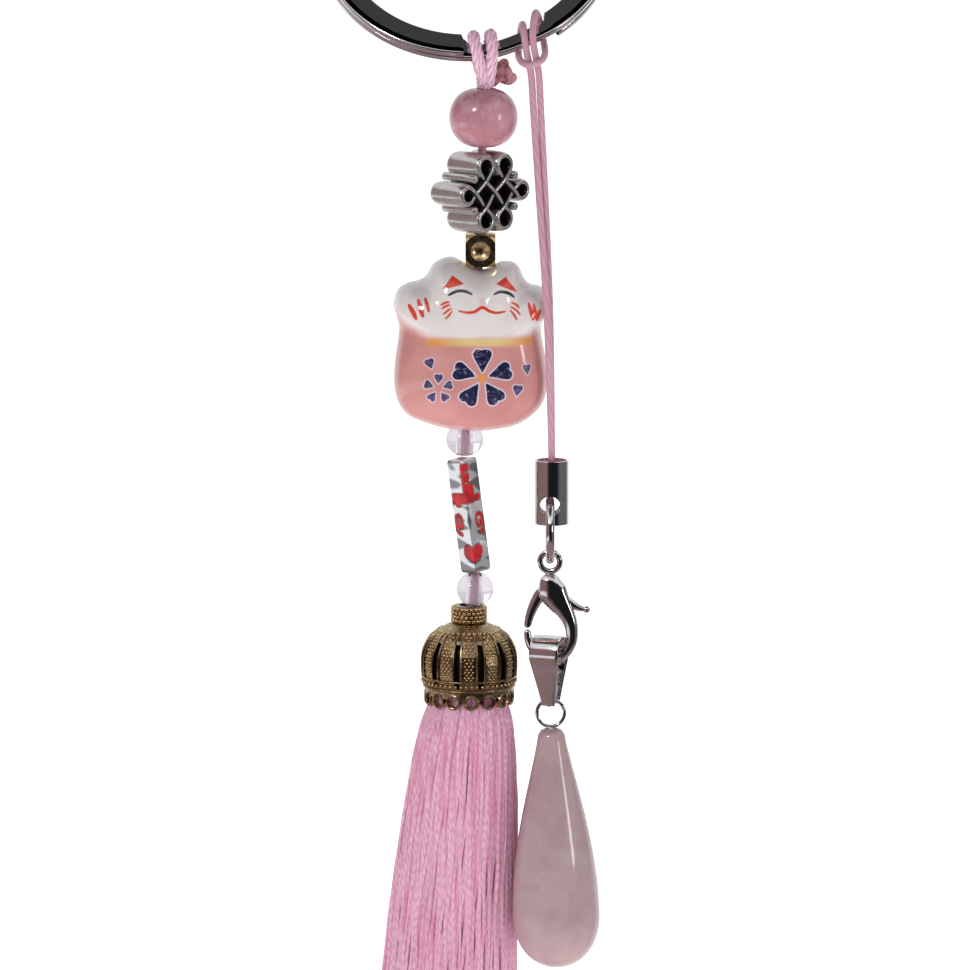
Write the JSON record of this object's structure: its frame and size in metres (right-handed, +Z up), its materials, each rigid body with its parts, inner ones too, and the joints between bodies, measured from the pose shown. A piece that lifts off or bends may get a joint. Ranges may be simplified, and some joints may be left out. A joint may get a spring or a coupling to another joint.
{
  "type": "key ring charm",
  "caption": "Split key ring with a hanging string of beads ending in a tassel, and a looped cord with a lobster clasp, bail and stone drop.",
  "frame": {"origin": "centre of the split ring", "axes": "+Z up along the hanging strings, +X to the right seen from the front, -Y to the front where the cat's face looks"},
  "size_m": [0.035, 0.0317, 0.1615],
  "materials": {
    "steel_ring": "bright nickel plate",
    "pink_cord": "silky twisted",
    "burnt_tail": "melted",
    "pink_stone": "polished marbled",
    "antique_silver": "antiqued",
    "antique_gold": "antiqued",
    "porcelain": "glossy hand-painted glaze",
    "clear_glass": "clear polished",
    "red_enamel": "glossy enamel",
    "tassel_silk": "silky twisted",
    "plated_silver": "polished silver plate",
    "pin_steel": "satin",
    "rose_quartz": "polished translucent"
  },
  "bodies": {
    "ring": {"split_ring": "steel_ring"},
    "charm": {"charm_hitch": "pink_cord", "hitch_tail": "burnt_tail", "charm_cord_upper": "pink_cord"},
    "rondelle": {"stone_rondelle": "pink_stone"},
    "knot": {"endless_knot_bead": "antique_silver"},
    "spacer": {"spacer_bead": "antique_gold"},
    "cat": {"cat_bead": "porcelain"},
    "glass_upper": {"glass_bead_upper": "clear_glass"},
    "lower_string": {"charm_cord_lower": "pink_cord"},
    "enamel": {"enamel_bead": "plated_silver", "enamel_inlay": "red_enamel"},
    "glass_lower": {"glass_bead_lower": "clear_glass"},
    "cap": {"tassel_cap": "antique_gold"},
    "tassel": {"tassel_cord": "pink_cord", "tassel_head": "tassel_silk", "tassel_binding": "tassel_silk", "tassel_skirt": "tassel_silk"},
    "strap": {"strap_cord": "pink_cord", "cord_end_tube": "plated_silver", "cord_plug": "pink_cord"},
    "link": {"link_ring": "plated_silver"},
    "clasp": {"clasp_body": "plated_silver", "clasp_pin": "pin_steel", "clasp_spring": "pin_steel"},
    "gate": {"clasp_gate": "plated_silver"},
    "bail": {"bail": "plated_silver", "bail_pin": "plated_silver"},
    "drop": {"drop_eye": "plated_silver", "quartz_drop": "rose_quartz"}
  },
  "joints": [
    {"name": "charm_swing", "type": "hinge", "parent": "ring", "child": "charm", "pos_m": [0.00202, -0.01071, -0.01246], "axis": [0.9925, 0.0815, 0.0906], "range_deg": [0, 30]},
    {"name": "rondelle_spin", "type": "hinge", "parent": "charm", "child": "rondelle", "pos_m": [0.002, -0.0108, -0.0201], "axis": [0, 0, 1], "continuous": true},
    {"name": "knot_spin", "type": "hinge", "parent": "charm", "child": "knot", "pos_m": [0.0016, -0.0108, -0.02875], "axis": [0, 0, 1], "continuous": true},
    {"name": "spacer_spin", "type": "hinge", "parent": "charm", "child": "spacer", "pos_m": [0.00165, -0.0108, -0.0356], "axis": [0, 0, 1], "continuous": true},
    {"name": "cat_turn", "type": "hinge", "parent": "charm", "child": "cat", "pos_m": [0.0008, -0.0108, -0.0472], "axis": [0, 0, 1], "range_deg": [0, 50]},
    {"name": "glass_upper_spin", "type": "hinge", "parent": "charm", "child": "glass_upper", "pos_m": [-0.0002, -0.0108, -0.05805], "axis": [0, 0, 1], "continuous": true},
    {"name": "string_sway", "type": "hinge", "parent": "charm", "child": "lower_string", "pos_m": [-0.0004, -0.0108, -0.06003], "axis": [0, 1, 0], "range_deg": [0, 20]},
    {"name": "enamel_spin", "type": "hinge", "parent": "lower_string", "child": "enamel", "pos_m": [-0.0006, -0.0108, -0.06035], "axis": [-0.1288, 0, 0.9917], "continuous": true},
    {"name": "glass_lower_spin", "type": "hinge", "parent": "lower_string", "child": "glass_lower", "pos_m": [0.001, -0.0108, -0.0759], "axis": [0, 0, 1], "continuous": true},
    {"name": "tassel_swing", "type": "hinge", "parent": "lower_string", "child": "tassel", "pos_m": [0.00075, -0.0108, -0.07785], "axis": [1, 0, 0], "range_deg": [0, 8]},
    {"name": "cap_spin", "type": "hinge", "parent": "tassel", "child": "cap", "pos_m": [0.0003, -0.0108, -0.084], "axis": [0, 0, 1], "continuous": true},
    {"name": "strap_swing", "type": "hinge", "parent": "ring", "child": "strap", "pos_m": [0.00726, -0.01024, -0.0108], "axis": [-0.8988, -0.2933, -0.3258], "range_deg": [0, 30]},
    {"name": "link_swing", "type": "hinge", "parent": "strap", "child": "link", "pos_m": [0.0098, -0.0142, -0.06515], "axis": [0, -1, 0], "range_deg": [0, 35]},
    {"name": "clasp_swing", "type": "hinge", "parent": "link", "child": "clasp", "pos_m": [0.0098, -0.0142, -0.0683], "axis": [-1, 0, 0], "range_deg": [0, 40]},
    {"name": "gate_open", "type": "hinge", "parent": "clasp", "child": "gate", "pos_m": [0.0097, -0.01419, -0.07525], "axis": [-0.1392, -0.9903, 0], "range_deg": [0, 20], "stiffness_Nm_per_rad": 0.02, "springref_deg": -11.46},
    {"name": "bail_swing", "type": "hinge", "parent": "clasp", "child": "bail", "pos_m": [0.0097, -0.0142, -0.08295], "axis": [-0.9336, 0.3584, 0], "range_deg": [0, 30]},
    {"name": "drop_swing", "type": "hinge", "parent": "bail", "child": "drop", "pos_m": [0.00992, -0.0142, -0.08905], "axis": [0, -1, 0], "range_deg": [0, 35]}
  ]
}
